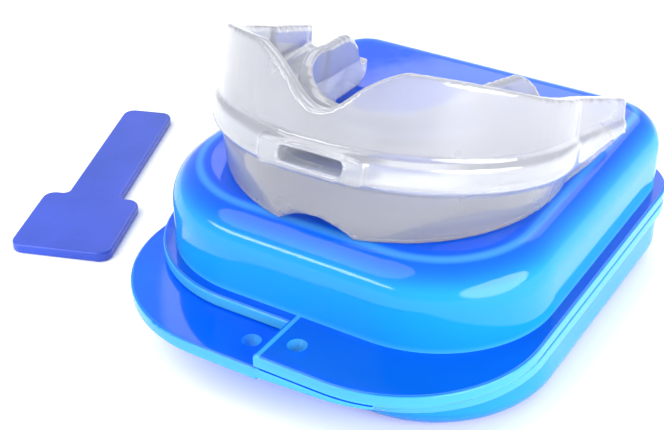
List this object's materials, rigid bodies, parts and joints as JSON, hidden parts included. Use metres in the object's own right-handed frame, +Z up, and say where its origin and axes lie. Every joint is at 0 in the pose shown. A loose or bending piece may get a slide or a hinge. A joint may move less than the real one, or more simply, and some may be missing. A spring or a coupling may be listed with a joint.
{
  "type": "mouthguard with case",
  "caption": "Double-arch boxing mouthguard with a hinged, snap-shut storage case and a flat fitting handle.",
  "frame": {"origin": "middle of the case's flat underside, below the centre of the lid's walls", "axes": "+Z up, the case's thumb tabs face -Y and its hinge is at +Y"},
  "size_m": [0.1141, 0.0908, 0.0541],
  "materials": {
    "case_plastic": "glossy translucent blue",
    "guard_clear": "frosted clear, smooth moulded",
    "handle_plastic": "satin royal blue"
  },
  "bodies": {
    "base": {"case_base": "case_plastic"},
    "lid": {"case_lid": "case_plastic"},
    "guard": {"mouthguard": "guard_clear"},
    "handle": {"fitting_handle": "handle_plastic"}
  },
  "joints": [
    {"name": "lid_hinge", "type": "hinge", "parent": "base", "child": "lid", "pos_m": [0, 0.0408, 0.012], "axis": [-1, 0, 0], "range_deg": [0, 135]},
    {"name": "guard_lift", "type": "slide", "parent": "lid", "child": "guard", "axis": [0, 0, 1], "range_m": [0, 0.06]},
    {"name": "handle_lift", "type": "slide", "parent": "base", "child": "handle", "axis": [0, 0, 1], "range_m": [0, 0.06]}
  ]
}
